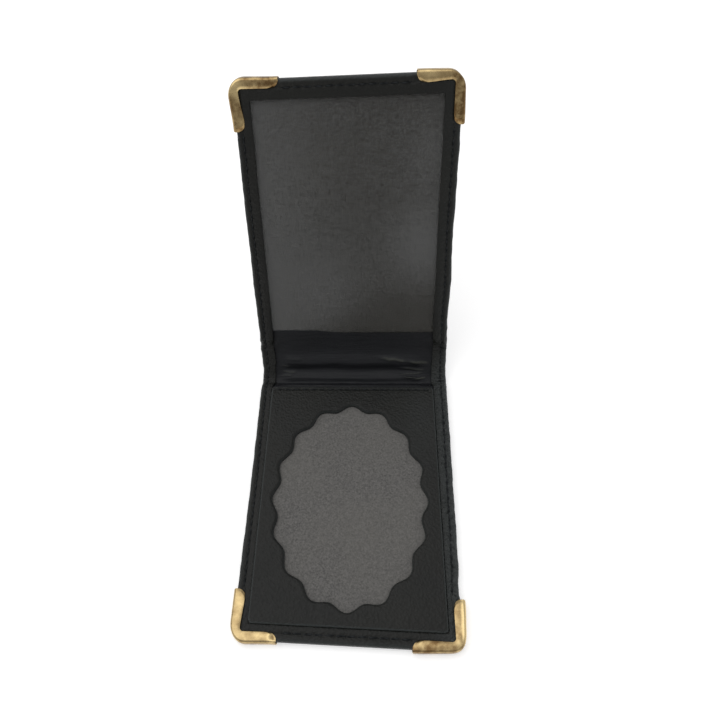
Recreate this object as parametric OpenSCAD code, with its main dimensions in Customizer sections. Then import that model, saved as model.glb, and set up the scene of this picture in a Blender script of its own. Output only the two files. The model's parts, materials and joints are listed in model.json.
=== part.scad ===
// Folding leather wallet for an oval badge and an identity card.
// It stands as in the photograph: the badge panel lies flat, the spine rises from
// its rear edge and the card panel leans back from the spine.
// The origin is the middle of the badge panel's underside, X runs across the
// wallet, Y away from the viewer, and Z up.

/* [Panels] */
// Width of the wallet across its panels
body_w = 75; // [66:1:95]
// Length of each panel from its crease to its outer edge
panel_h = 103; // [92:1:125]
// Width of the spine between its two creases
spine_w = 15.5; // [13:0.5:24]
// Radius of the outer corners of the leather
corner_r = 3; // [2:0.25:5]

/* [Folds] */
// Fold at the crease between the badge panel and the spine, from flat
lower_fold = 46; // [0:1:90]
// Fold at the crease between the spine and the card panel, from flat
upper_fold = 20; // [0:1:90]

/* [Leather] */
// Thickness of the cover leather
cover_t = 1; // [0.8:0.1:1.4]
// Thickness of the thinned leather that is turned in round the edge
hem_t = 0.9; // [0.6:0.1:1.2]
// Roundness of the folded edge
edge_r = 1.1; // [0.6:0.1:1.15]
// Thickness of the lining leather
lining_t = 0.4; // [0.3:0.1:0.6]
// Height of the folds in the spine's lining
pucker_h = 1.1; // [0.5:0.1:1.5]

/* [Boards] */
// Thickness of the stiffening board inside each panel
board_t = 1; // [0.8:0.1:1.5]
// Distance of each board from its crease
board_gap = 3; // [2.5:0.1:4]

/* [Badge side] */
// Width of the turned-in border round the badge pad
badge_hem_w = 4.3; // [3.5:0.1:6]
// Distance of the pad from the crease
pad_from_crease = 5.2; // [4.8:0.1:8]
// Thickness of the pad's core
pad_core_t = 1.2; // [0.8:0.1:3]
// Thickness of the leather over the pad
pad_skin_t = 0.6; // [0.4:0.1:0.9]
// Radius of the pad's corners
pad_corner_r = 1.4; // [1:0.1:3]
// Distance from the pad's sides to the tips of the oval cut-out
oval_side_margin = 4.4; // [3:0.1:8]
// Distance from the pad's outer edge to the tip of the oval cut-out
oval_end_margin = 5.55; // [3:0.05:10]
// Distance from the pad's edge at the crease to the tip of the oval cut-out
oval_crease_margin = 8.55; // [5:0.05:12]
// Number of lobes round the oval
lobes = 16; // [12:4:24]
// Depth of the lobes from tip to valley
lobe_depth = 2.2; // [1:0.1:3]
// Thickness of the suede under the cut-out
backing_t = 0.4; // [0.3:0.1:0.8]

/* [Card side] */
// Width of the turned-in border at the sides of the window
card_hem_w = 5.3; // [4:0.1:7]
// Width of the turned-in border at the window's far end
card_hem_end_w = 6.4; // [4:0.1:8]
// Distance of the window's open edge from the crease
window_from_crease = 8; // [7:0.1:12]
// Thickness of the clear film
film_t = 0.3; // [0.2:0.05:0.5]
// Height of the pocket between the film and the suede
pocket_h = 0.3; // [0.3:0.1:1]

/* [Metal corners] */
// Length of each arm
clip_arm = 17; // [12:0.5:22]
// Width of each arm on the face of the leather
clip_face_w = 2.5; // [2:0.1:3.6]
// How far the bent edge stands out past the leather
clip_bulge = 0.8; // [0:0.1:1.2]
// Thickness of the brass
clip_t = 0.4; // [0.3:0.05:0.5]
// Roundness of the bent edge
clip_edge_r = 0.8; // [0.6:0.05:0.9]
// Radius of the rounded end of each arm
clip_end_r = 3; // [2:0.1:3.2]

/* [Stitching] */
// Distance between stitches
stitch_pitch = 3.4; // [3:0.1:5]
// Length of one stitch
stitch_len = 2.3; // [1.5:0.1:2.6]
// Width of the thread
thread_w = 0.5; // [0.3:0.05:0.7]
// Distance of the stitching from the edge of the leather
stitch_inset = 1.9; // [1.5:0.1:2.6]
// Distance of the cross row from the edge of the pad
pad_stitch_inset = 1.2; // [1:0.1:2.5]

/* [Hidden] */
// Largest fold at either crease
fold_max = 90;
// Half gap left at each crease, and the lean of the mitred ends beside it
crease_clear = 0.15;
mitre_slope = tan(fold_max / 2);
// Side clearance round boards and linings, and round the metal corners
lay_clear = 0.1;
clip_clear = 0.05;
// Clearance between the metal corners and the first stitch beside them
stitch_clear = 0.8;
// Overrun of every cut
cut_over = 1;
// Evens out the spacing of the lobes along the oval, as an angle
lobe_shift_share = 3.2;
// Number of points along one lobe, and along each fold of the spine's lining
lobe_points = 9;
pucker_points = 14;
// Number of folds in the spine's lining
puckers = 2;
$fn = 48;

half_w = body_w / 2;
edge_in = cover_t + lay_clear;
// Levels above the outer face of the leather
board_top = cover_t + board_t;
badge_hem_z = board_top + max(backing_t, lining_t);
badge_top = badge_hem_z + hem_t;
pad_z = badge_hem_z;
pad_core_top = pad_z + pad_core_t;
pad_top = pad_core_top + pad_skin_t;
film_z = board_top + max(backing_t, lining_t) + pocket_h;
card_hem_z = film_z + film_t;
card_top = card_hem_z + hem_t;
spine_hem_z = cover_t + lining_t;
spine_top = spine_hem_z + hem_t;
// Pad outline
pad_half_w = half_w - badge_hem_w - lay_clear;
pad_end = panel_h - badge_hem_w - lay_clear;
// Oval cut-out over the tips of its lobes
oval_w = 2 * (pad_half_w - oval_side_margin);
oval_start = pad_from_crease + oval_crease_margin;
oval_l = pad_end - oval_end_margin - oval_start;
// The lining runs under the pad by this much
lining_lap = 3;
badge_lining_end = pad_from_crease + lining_lap;
// Height of the metal corners over the leather's face, and their reach past its edge
clip_out = clip_clear + clip_t;
clip_reach = clip_out + clip_bulge;
clip_inside = clip_clear + clip_bulge;

// Each panel is drawn flat with its crease on the X axis and its outer end at +Y

module place_badge_side() {
    translate([0, panel_h / 2, 0]) rotate([0, 0, 180]) children();
}

module place_spine() {
    translate([0, panel_h / 2, 0]) rotate([lower_fold, 0, 0]) children();
}

module place_card_side() {
    place_spine() translate([0, spine_w, 0]) rotate([upper_fold, 0, 0]) children();
}

module black_leather() {
    color([0.09, 0.1, 0.1]) children();
}

module grey_suede() {
    color([0.42, 0.4, 0.42]) children();
}

module board_grey() {
    color([0.55, 0.5, 0.42]) children();
}

module brass() {
    color([0.86, 0.68, 0.32]) children();
}

// Rectangle from y0 to y1 with rounded corners
module rounded_rect(half, y0, y1, r) {
    translate([-half + r, y0]) square([2 * (half - r), y1 - y0]);
    translate([-half, y0 + r]) square([2 * half, y1 - y0 - 2 * r]);
    for (x = [-half + r, half - r], y = [y0 + r, y1 - r]) translate([x, y]) circle(r);
}

// Section of a rolled edge, from the slab's side out to its rim
module rim_section(height, r, round_foot) {
    foot_r = round_foot ? r : 0;
    translate([-r / 2, 0]) square([r / 2, height]);
    translate([0, foot_r]) square([r, height - r - foot_r]);
    intersection() {
        union() {
            translate([0, height - r]) circle(r);
            if (round_foot) translate([0, r]) circle(r);
        }
        square([r, height]);
    }
}

// Slab whose four edges are rolled over at the top, and at the foot too if asked
module rolled_slab(half, y0, y1, corner, height, r, round_foot = true) {
    linear_extrude(height) rounded_rect(half - r, y0 + r, y1 - r, corner - r);
    for (side = [0, 1]) mirror([side, 0, 0])
        translate([half - r, y1 - corner, 0]) rotate([90, 0, 0])
            linear_extrude(y1 - y0 - 2 * corner) rim_section(height, r, round_foot);
    for (end = [0, 1]) translate([0, end ? y1 - r : y0 + r, 0]) mirror([0, 1 - end, 0])
        translate([-half + corner, 0, 0]) rotate([90, 0, 90])
            linear_extrude(2 * (half - corner)) rim_section(height, r, round_foot);
    for (sx = [0, 1], end = [0, 1])
        mirror([sx, 0, 0]) translate([half - corner, end ? y1 - corner : y0 + corner, 0])
            mirror([0, 1 - end, 0]) rotate_extrude(angle = 90)
                translate([corner - r, 0]) rim_section(height, r, round_foot);
}

// Everything on the crease's side of a mitred end
module crease_cut(top) {
    rise = top + cut_over;
    reach = 2 * corner_r + cut_over;
    translate([half_w + cut_over, 0, 0]) rotate([90, 0, -90])
        linear_extrude(2 * (half_w + cut_over))
            polygon([[reach, -cut_over],
                     [-crease_clear + cut_over * mitre_slope, -cut_over],
                     [-crease_clear - rise * mitre_slope, rise],
                     [reach, rise]]);
}

// Both ends of a piece of the spine
module spine_cuts(top) {
    crease_cut(top);
    translate([0, spine_w, 0]) mirror([0, 1, 0]) crease_cut(top);
}

// Bar across the wallet with the given section, drawn as [y, z]
module cross_bar(half, section) {
    translate([half, 0, 0]) rotate([90, 0, -90]) linear_extrude(2 * half)
        polygon([for (p = section) [-p[0], p[1]]]);
}

// Cover of one panel: the outer sheet, its folded edge and the hem turned in on three sides
module panel_cover(hem_z, hem_side, hem_end) {
    top = hem_z + hem_t;
    difference() {
        rolled_slab(half_w, -2 * corner_r, panel_h, corner_r, top, edge_r);
        translate([0, 0, cover_t]) linear_extrude(hem_z - cover_t)
            rounded_rect(half_w - cover_t, -2 * corner_r - cut_over, panel_h - cover_t,
                         corner_r - cover_t);
        translate([0, 0, hem_z]) linear_extrude(hem_t + cut_over)
            translate([-half_w + hem_side, -2 * corner_r - cut_over])
                square([body_w - 2 * hem_side, panel_h - hem_end + 2 * corner_r + cut_over]);
        crease_cut(top);
        for (side = [0, 1]) mirror([side, 0, 0]) translate([0, 0, -cut_over])
            linear_extrude(cut_over + clip_t + clip_clear) clip_outline(clip_clear);
    }
}

module panel_board() {
    translate([0, 0, cover_t]) linear_extrude(board_t)
        rounded_rect(half_w - edge_in, board_gap, panel_h - edge_in, corner_r - cover_t);
}

// Lining of one panel, from the crease up onto the board
module panel_lining(y_end) {
    ramp_end = board_gap - lay_clear;
    ramp_start = ramp_end - board_t;
    lean = lining_t * tan(fold_max / 4);
    difference() {
        cross_bar(half_w - edge_in,
                  [[0, cover_t], [ramp_start, cover_t], [ramp_end, board_top], [y_end, board_top],
                   [y_end, board_top + lining_t], [ramp_end - lean, board_top + lining_t],
                   [ramp_start - lean, cover_t + lining_t], [0, cover_t + lining_t]]);
        crease_cut(board_top);
    }
}

// Sheet of suede on the board, from y0 to the panel's outer end
module panel_backing(y0) {
    translate([0, 0, board_top]) linear_extrude(backing_t)
        rounded_rect(half_w - edge_in, y0, panel_h - edge_in, corner_r - cover_t);
}

// Angle on the oval that puts the lobes at even steps along it
function oval_angle(turn) = turn + lobe_shift_share * sin(2 * turn);

// Point on the lobed oval, moved out by grow
function oval_point(turn, grow) =
    let (a = (oval_w - lobe_depth) / 2,
         b = (oval_l - lobe_depth) / 2,
         t = oval_angle(turn),
         normal = [sin(t) / a, cos(t) / b],
         out = lobe_depth / 2 * cos(lobes * turn) + grow)
    [a * sin(t), b * cos(t)] + out * normal / norm(normal);

module scalloped_oval(grow = 0) {
    count = lobes * lobe_points;
    translate([0, oval_start + oval_l / 2])
        polygon([for (i = [0 : count - 1]) oval_point(360 * i / count, grow)]);
}

// Plan of one metal corner at the +X outer corner of a panel
module clip_outline(grow = 0) {
    inner = [half_w - clip_face_w - grow, panel_h - clip_face_w - grow];
    outer = [half_w + clip_reach + grow, panel_h + clip_reach + grow];
    start = [half_w + clip_reach - clip_arm - grow, panel_h + clip_reach - clip_arm - grow];
    end_r = clip_end_r + grow;
    difference() {
        union() {
            translate([start[0], inner[1]]) square([outer[0] - start[0], outer[1] - inner[1]]);
            translate([inner[0], start[1]]) square([outer[0] - inner[0], outer[1] - start[1]]);
        }
        difference() {
            translate([start[0] - grow, inner[1] - grow]) square(end_r + grow);
            translate([start[0] + end_r, inner[1] + end_r]) circle(end_r);
        }
        difference() {
            translate([inner[0] - grow, start[1] - grow]) square(end_r + grow);
            translate([inner[0] + end_r, start[1] + end_r]) circle(end_r);
        }
    }
}

// Metal corner folded round the leather, whose face lies at top
module corner_clip(top) {
    height = top + clip_out;
    brass() intersection() {
        linear_extrude(height) clip_outline();
        difference() {
            rolled_slab(half_w + clip_reach, panel_h - 2 * clip_arm, panel_h + clip_reach,
                        corner_r + clip_reach, height, clip_edge_r);
            translate([0, 0, clip_t]) linear_extrude(height - 2 * clip_t)
                rounded_rect(half_w + clip_inside, panel_h - 2 * clip_arm - cut_over,
                             panel_h + clip_inside, corner_r + clip_inside);
        }
    }
}

// Row of stitches along +Y, centred between y0 and y1
module stitch_row(y0, y1) {
    count = floor((y1 - y0 - stitch_len) / stitch_pitch) + 1;
    run = (count - 1) * stitch_pitch + stitch_len;
    first = (y0 + y1 - run) / 2;
    color([0.06, 0.06, 0.07])
        for (i = [0 : count - 1]) translate([0, first + i * stitch_pitch + stitch_len, 0])
            rotate([90, 0, 0]) linear_extrude(stitch_len) intersection() {
                circle(d = thread_w);
                translate([-thread_w, 0]) square([2 * thread_w, thread_w]);
            }
}

// Stitching round a panel's border, clear of the metal corners
module border_stitches(top) {
    last = panel_h + clip_reach - clip_arm - stitch_clear;
    row_x = half_w - stitch_inset;
    end_half = half_w + clip_reach - clip_arm - stitch_clear;
    translate([0, 0, top]) {
        for (x = [-row_x, row_x]) translate([x, 0, 0])
            stitch_row(crease_clear + top * mitre_slope, last);
        translate([0, panel_h - stitch_inset, 0]) rotate([0, 0, -90])
            stitch_row(-end_half, end_half);
    }
}

module badge_side_cover() {
    place_badge_side() black_leather() panel_cover(badge_hem_z, badge_hem_w, badge_hem_w);
}

module badge_side_board() {
    place_badge_side() board_grey() panel_board();
}

module badge_side_lining() {
    place_badge_side() black_leather() panel_lining(badge_lining_end);
}

module badge_backing() {
    place_badge_side() grey_suede() panel_backing(badge_lining_end);
}

module badge_pad_core() {
    wall = pad_skin_t;
    place_badge_side() board_grey() translate([0, 0, pad_z]) linear_extrude(pad_core_t)
        difference() {
            rounded_rect(pad_half_w - wall, pad_from_crease + wall, pad_end - wall,
                         pad_corner_r - wall);
            scalloped_oval(wall);
        }
}

// Leather wrapped over the core and down the walls of the cut-out
module badge_pad_leather() {
    wall = pad_skin_t;
    place_badge_side() black_leather() translate([0, 0, pad_z]) difference() {
        rolled_slab(pad_half_w, pad_from_crease, pad_end, pad_corner_r, pad_top - pad_z,
                    pad_skin_t, false);
        translate([0, 0, -cut_over]) linear_extrude(pad_core_t + cut_over) difference() {
            rounded_rect(pad_half_w - wall, pad_from_crease + wall, pad_end - wall,
                         pad_corner_r - wall);
            scalloped_oval(wall);
        }
        translate([0, 0, -cut_over]) linear_extrude(pad_top - pad_z + 2 * cut_over)
            scalloped_oval();
    }
}

module badge_side_thread() {
    place_badge_side() border_stitches(badge_top);
}

// Row of stitches across the pad beside the crease
module pad_thread() {
    place_badge_side() translate([0, pad_from_crease + pad_stitch_inset, pad_top])
        rotate([0, 0, -90])
            stitch_row(-pad_half_w + pad_stitch_inset, pad_half_w - pad_stitch_inset);
}

module corner_lower_left() {
    place_badge_side() corner_clip(badge_top);
}

module corner_lower_right() {
    place_badge_side() mirror([1, 0, 0]) corner_clip(badge_top);
}

module spine_cover() {
    reach = 2 * corner_r;
    place_spine() black_leather() difference() {
        rolled_slab(half_w, -reach, spine_w + reach, corner_r, spine_top, edge_r);
        translate([-half_w + cover_t, -reach - cut_over, cover_t])
            cube([body_w - 2 * cover_t, spine_w + 2 * (reach + cut_over), lining_t]);
        translate([-half_w + card_hem_w, -reach - cut_over, spine_hem_z])
            cube([body_w - 2 * card_hem_w, spine_w + 2 * (reach + cut_over), hem_t + cut_over]);
        spine_cuts(spine_top);
    }
}

// Height of the lining's underside above the cover, along the spine
function pucker(y) = pucker_h * (1 - cos(360 * puckers * y / spine_w)) / 2;

// The lining lies flat under the border strips and puckers into soft folds between them
module spine_lining() {
    steps = puckers * pucker_points;
    along = [for (i = [0 : steps]) spine_w * i / steps];
    foot = [for (y = along) [y, cover_t + pucker(y)]];
    crown = [for (i = [steps : -1 : 0]) [along[i], spine_hem_z + pucker(along[i])]];
    place_spine() black_leather() difference() {
        union() {
            cross_bar(half_w - card_hem_w - lay_clear, concat(foot, crown));
            for (side = [0, 1]) mirror([side, 0, 0])
                translate([half_w - card_hem_w - lay_clear, 0, cover_t])
                    cube([card_hem_w - cover_t, spine_w, lining_t]);
        }
        spine_cuts(spine_top + pucker_h);
    }
}

module spine_thread() {
    row_x = half_w - stitch_inset;
    place_spine() translate([0, 0, spine_top]) for (x = [-row_x, row_x]) translate([x, 0, 0])
        stitch_row(crease_clear + spine_top * mitre_slope,
                   spine_w - crease_clear - spine_top * mitre_slope);
}

module card_side_cover() {
    place_card_side() black_leather() panel_cover(card_hem_z, card_hem_w, card_hem_end_w);
}

module card_side_board() {
    place_card_side() board_grey() panel_board();
}

module card_side_lining() {
    place_card_side() black_leather() panel_lining(window_from_crease);
}

module card_backing() {
    place_card_side() grey_suede() panel_backing(window_from_crease);
}

// Clear film held under the border on three sides and open towards the crease
module card_window_film() {
    place_card_side() color([0.85, 0.87, 0.9, 0.35]) translate([0, 0, film_z])
        linear_extrude(film_t)
            rounded_rect(half_w - edge_in, window_from_crease, panel_h - edge_in,
                         corner_r - cover_t);
}

module card_side_thread() {
    place_card_side() border_stitches(card_top);
}

module corner_upper_left() {
    place_card_side() mirror([1, 0, 0]) corner_clip(card_top);
}

module corner_upper_right() {
    place_card_side() corner_clip(card_top);
}

badge_side_cover();
badge_side_board();
badge_side_lining();
badge_backing();
badge_pad_core();
badge_pad_leather();
badge_side_thread();
pad_thread();
corner_lower_left();
corner_lower_right();
spine_cover();
spine_lining();
spine_thread();
card_side_cover();
card_side_board();
card_side_lining();
card_backing();
card_window_film();
card_side_thread();
corner_upper_left();
corner_upper_right();
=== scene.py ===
# Folding leather wallet for an oval badge and an identity card, open as in the photograph.
# Each piece is made flat on the bench, in millimetres, and then folded into its place.
# On the bench X runs across the wallet, Y along it from the badge panel to the card panel with
# 0 at the lower crease, and Z is the height above the outer face of the leather.
import json
import math

import bmesh
import bpy
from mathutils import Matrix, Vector, noise


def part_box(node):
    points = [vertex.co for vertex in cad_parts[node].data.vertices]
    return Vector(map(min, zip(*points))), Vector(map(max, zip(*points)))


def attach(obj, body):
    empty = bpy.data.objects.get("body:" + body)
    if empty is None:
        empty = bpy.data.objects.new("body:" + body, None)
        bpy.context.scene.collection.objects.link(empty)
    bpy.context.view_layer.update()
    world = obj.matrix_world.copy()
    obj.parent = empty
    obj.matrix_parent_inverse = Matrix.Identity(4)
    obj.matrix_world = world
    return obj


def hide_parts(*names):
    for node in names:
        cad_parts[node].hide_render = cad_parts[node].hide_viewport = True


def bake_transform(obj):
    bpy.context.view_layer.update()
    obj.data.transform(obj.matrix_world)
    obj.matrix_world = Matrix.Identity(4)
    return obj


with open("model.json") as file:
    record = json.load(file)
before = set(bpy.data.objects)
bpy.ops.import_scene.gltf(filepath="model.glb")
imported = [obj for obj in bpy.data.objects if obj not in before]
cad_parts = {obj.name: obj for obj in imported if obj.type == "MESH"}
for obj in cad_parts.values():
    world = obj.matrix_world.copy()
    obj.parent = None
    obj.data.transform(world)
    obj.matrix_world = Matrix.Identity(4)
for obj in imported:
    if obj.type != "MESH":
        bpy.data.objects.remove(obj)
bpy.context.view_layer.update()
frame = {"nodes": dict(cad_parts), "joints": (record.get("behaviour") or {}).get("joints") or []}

bpy.ops.object.select_all(action="DESELECT")

# Camera
# A phone camera held in front of the badge panel and well above it, which looks down and back
# over both creases. Its frame is 720 by 720, and the picture was cut out a little off centre.
MM = 0.001
picture_px = 720
lens_px = 619.6
centre_px = 319.3
sensor_mm = 36
clip_near = 5
clip_far = 20000
camera_place = Vector((10.3, -87.6, 220.8))
camera_turn = (34.29, 4.44, 3.0)


def put_in(name, data):
    """A new object of the scene with this data."""
    thing = bpy.data.objects.new(name, data)
    bpy.context.scene.collection.objects.link(thing)
    return thing


camera_data = bpy.data.cameras.new("camera")
camera_data.sensor_width = sensor_mm
camera_data.lens = sensor_mm * lens_px / picture_px
camera_data.shift_x = 0.5 - centre_px / picture_px
camera_data.clip_start = clip_near * MM
camera_data.clip_end = clip_far * MM
camera = put_in("camera", camera_data)
camera.location = camera_place * MM
camera.rotation_euler = [math.radians(turn) for turn in camera_turn]
bpy.context.scene.camera = camera

# Floor and light
# A matt white sheet of card on a table, lit by one large soft lamp above and behind on the left
# and by a pale room. The card looks white to the eye and in the metal, and keeps the shadow.
floor_size = 6000
floor_glow = 0.42
lamp_size = 760
lamp_place = Vector((-250, 110, 590))
lamp_aim = Vector((0, 20, 30))
lamp_watts = 1.5
room_horizon = 0.4
room_zenith = 0.81
room_front_share = 0.75


def linear(code):
    """Linear red, green, blue and alpha of an sRGB hex colour."""
    shares = [int(code[i:i + 2], 16) / 255 for i in (1, 3, 5)]
    return [s / 12.92 if s <= 0.04045 else ((s + 0.055) / 1.055) ** 2.4 for s in shares] + [1]


def add(tree, kind, inputs=None, out=0, **settings):
    """Adds a node with its settings, links or sets its inputs, and returns its output out."""
    node = tree.nodes.new("ShaderNode" + kind)
    for name, value in settings.items():
        setattr(node, name, value)
    for name, value in (inputs or {}).items():
        if isinstance(value, bpy.types.NodeSocket):
            tree.links.new(value, node.inputs[name])
        else:
            node.inputs[name].default_value = value
    return node.outputs[out] if node.outputs else node


def finish_of(surface):
    """A material named for the function that adds its nodes, from a place on the piece to the
    surface that it returns."""
    finish = bpy.data.materials.new(surface.__name__)
    finish.use_nodes = True
    tree = finish.node_tree
    tree.nodes.clear()
    place = add(tree, "TexCoord", out="Object")
    add(tree, "OutputMaterial", {"Surface": surface(tree, place)})
    return finish


def white_card(tree, place):
    """Matt coated card: an even, pale face with the faintest cloud in it. It glows for what
    sees it, so that it looks white and still takes the shadow."""
    cloud = add(tree, "TexNoise", {"Vector": place, "Scale": 1 / (90 * MM), "Detail": 3})
    tone = add(tree, "Mix", {0: cloud, 6: linear("#e9e8e6"), 7: linear("#f1f0ee")}, 2,
               data_type="RGBA")
    face = add(tree, "BsdfDiffuse", {"Color": tone})
    path = add(tree, "LightPath").node.outputs
    seen = path["Is Camera Ray"]
    for ray in ("Is Glossy Ray", "Is Transmission Ray"):
        seen = add(tree, "Math", {0: seen, 1: path[ray]}, operation="MAXIMUM")
    strength = add(tree, "Math", {0: seen, 1: floor_glow}, operation="MULTIPLY")
    glow = add(tree, "Emission", {"Strength": strength})
    return add(tree, "AddShader", {0: face, 1: glow})


def started(shape, name, **settings):
    """A new piece that starts as one of Blender's own shapes, with its place and turn applied."""
    bpy.ops.object.select_all(action="DESELECT")
    shape(**settings)
    bpy.context.object.name = name
    bpy.ops.object.transform_apply()
    return bpy.context.object


floor = started(bpy.ops.mesh.primitive_plane_add, "floor", size=floor_size * MM)
floor.data.materials.append(finish_of(white_card))

lamp_data = bpy.data.lights.new("softbox", "AREA")
lamp_data.size = lamp_size * MM
lamp_data.energy = lamp_watts
lamp = put_in("softbox", lamp_data)
lamp.location = lamp_place * MM
lamp.rotation_euler = (lamp_aim - lamp_place).to_track_quat("-Z", "Y").to_euler()

room = bpy.data.worlds.new("room")
room.use_nodes = True
bpy.context.scene.world = room
tree = room.node_tree
tree.nodes.clear()
way = add(tree, "SeparateXYZ", {0: add(tree, "TexCoord", out="Generated")}).node.outputs
height = add(tree, "MapRange", {"Value": way["Z"], "From Min": 0, "From Max": 0.95,
                                "To Min": room_horizon, "To Max": room_zenith})
front = add(tree, "MapRange", {"Value": way["Y"], "From Min": -0.9, "From Max": 0.1,
                               "To Min": room_front_share, "To Max": 1})
level = add(tree, "Math", {0: height, 1: front}, operation="MULTIPLY")
shell = add(tree, "Background", {"Color": linear("#fbfcff"), "Strength": level})
add(tree, "OutputWorld", {"Surface": shell})
bpy.context.scene.view_settings.view_transform = "Standard"

# Cover
# One hide of black cowhide, embossed with a fine grain, is skived thin at its rim, turned in
# round both boards and sewn down as a flat border. It bends at two creases. Each half of it,
# from the middle of the spine out to one end, is a piece of its own here.
lower_joint, upper_joint = frame["joints"]
lower_corner = Vector(lower_joint["pos_m"][1:]) / MM
upper_corner = Vector(upper_joint["pos_m"][1:]) / MM
lower_fold = -math.radians(lower_joint["range_deg"][0])
upper_fold = -math.radians(upper_joint["range_deg"][0])
badge_low, badge_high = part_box("badge_side_cover")
edge_swell = 0.5
body_half = badge_high.x / MM + edge_swell
panel_length = lower_corner.x - badge_low.y / MM
spine_width = (upper_corner - lower_corner).length
spine_middle = spine_width / 2
turn_short = 0.1
badge_end = -panel_length + turn_short
card_end = spine_width + panel_length
out_of_square = 0.011
square_to = 60
skewed_from = 100
ease = 4.0
badge_border_top = badge_high.z / MM
spine_border_top = 2.3
card_border_top = 3.9
border_rise_badge = (0.3, 4.6)
border_rise_card = (0.3, 5.2)
cover_thick = 0.9
leather_corner = 4.2
rolled_edge = 1.1
badge_hem = 5.02
card_hem = 5.7
card_hem_at_end = 6.3
side_stitch_inset = 2.3
end_stitch_inset = 2.65
stitch_step = 3.5
channel_deep = 0.16
channel_wide = 0.5
hole_deep = 0.4
hole_wide = 0.3
hole_cut = 0.32
hand_wave = 0.1
fine_wave = 0.06
edge_wander = 0.16
edge_wear = 0.7
edge_wear_reach = (-1.4, -0.2)
grip = (31, 35)
pucker_deep = 0.22
raw_edge_round = 0.16
guard_thick = 0.4
guard_tip_along = 16.4
guard_tip_across = 22.1
guard_inner_side = 35.2
guard_inner_end = 2.3
row_clear = 0.8
pad_lean = 0.0047
pad_aside = 0.2
near = 0.01
# Where the border is cut, in from its outer edge, so that it can be pressed and bent
side_cuts = (1.4, 1.95, side_stitch_inset, 2.65, 3.2, 3.9)
side_cut_shares = (0.62, 0.72)
end_cuts = (1.5, 2.3, end_stitch_inset, 3.0, 3.6, 4.1, 6, 8, 10, 12, 14, 16)
crease_cuts = (6.2, 6.9)
# Half width of the leather at places along the bench, left and right: a turned edge wanders,
# is drawn in over the spine and swells out beside it
edge_lines = {
    -1: ((-103, 37.78), (-60, 37.72), (-50, 37.66), (-33, 37.82), (-12, 38.04), (-6, 38.1),
         (-3, 37.95), (1.8, 37.87), (5.8, 37.47), (9.6, 37.78), (12.1, 38.03), (14.7, 38.4),
         (17.5, 38.04), (24, 37.95), (50, 38.0), (85, 38.0), (94, 37.8), (119, 37.95)),
    1: ((-103, 37.9), (-88, 37.85), (-85, 37.5), (-82, 37.55), (-77, 37.95), (-60, 38.13),
        (-44, 38.18), (-26, 38.35), (-8, 38.38), (-2, 38.43), (4.5, 38.15), (9.5, 38.22),
        (14, 38.33), (17, 38.4), (22, 38.1), (30, 37.9), (45, 38.2), (55, 37.98),
        (66, 37.85), (75, 37.93), (90, 38.05), (119, 38.05))}


def way_along(lean):
    """Direction along a panel that leans by this angle, as Y and Z."""
    return Vector((math.cos(lean), math.sin(lean)))


def way_up(lean):
    """Direction out of the inner face of a panel that leans by this angle, as Y and Z."""
    return Vector((-math.sin(lean), math.cos(lean)))


def folded(point):
    """Place in the open wallet, in metres, of a point on the bench."""
    across, along, height = point
    along -= out_of_square * across * soft_step(-along, square_to, skewed_from)
    lean, corner, start = 0.0, lower_corner, 0.0
    for at, place, before, fold in ((0.0, lower_corner, 0.0, lower_fold),
                                    (spine_width, upper_corner, lower_fold, upper_fold)):
        if along >= at + ease:
            lean, corner, start = before + fold, place, at
        elif along > at - ease:
            radius = ease / math.tan(fold / 2)
            centre = place - ease * way_along(before) + radius * way_up(before)
            turned = before + fold * (along - at + ease) / (2 * ease)
            return Vector((across, *(centre - (radius - height) * way_up(turned)))) * MM
    flat = corner + (along - start) * way_along(lean) + height * way_up(lean)
    return Vector((across, *flat)) * MM


def soft_step(value, low, high):
    """Runs smoothly from 0 at low to 1 at high."""
    share = min(max((value - low) / (high - low), 0), 1)
    return share * share * (3 - 2 * share)


def bump_at(distance, width):
    """A round bump of height 1 that fades out over about its width."""
    return math.exp(-(distance / width) ** 2)


def line_through(points, place):
    """Value at a place of a smooth line through points of place and value."""
    for (start, low), (stop, high) in zip(points, points[1:]):
        if place <= stop:
            return low + (high - low) * soft_step(place, start, stop)
    return points[-1][1]


def choose(kind, test):
    """Selects the EDGE or FACE parts in edit mode whose test of part and middle holds."""
    bpy.ops.mesh.select_mode(type=kind)
    bpy.ops.mesh.select_all(action="DESELECT")
    mesh = bmesh.from_edit_mesh(bpy.context.object.data)
    for part in mesh.edges if kind == "EDGE" else mesh.faces:
        if test(part, sum((end.co for end in part.verts), Vector()) / len(part.verts)):
            part.select_set(True)
    mesh.select_flush_mode()
    bmesh.update_edit_mesh(bpy.context.object.data)


def cut_across(axis, places):
    """Cuts the whole piece in edit mode square to axis 0, 1 or 2 at each place."""
    normal = [float(axis == i) for i in range(3)]
    for place in places:
        bpy.ops.mesh.select_all(action="SELECT")
        bpy.ops.mesh.bisect(plane_co=[place * n for n in normal], plane_no=normal)


def finish_with(piece, kind, **settings):
    """Applies one modifier to a piece."""
    bpy.context.view_layer.objects.active = piece
    modifier = piece.modifiers.new(kind.lower(), kind)
    for name, value in settings.items():
        setattr(modifier, name, value)
    bpy.ops.object.modifier_apply(modifier=modifier.name)


def hang(piece, angle, finish, replaced):
    """Shades a piece smooth but for edges sharper than angle, folds it from the bench into its
    place, gives it its finish and hides the model's parts that it replaces."""
    bpy.ops.object.select_all(action="DESELECT")
    piece.select_set(True)
    bpy.context.view_layer.objects.active = piece
    bpy.ops.object.shade_smooth_by_angle(angle=math.radians(angle))
    for corner in piece.data.vertices:
        corner.co = folded(corner.co)
    piece.data.update()
    piece.data.materials.clear()
    piece.data.materials.append(finish)
    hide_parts(*replaced)


def bend(piece):
    """Applies a piece's transform to its mesh."""
    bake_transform(piece)


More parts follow.
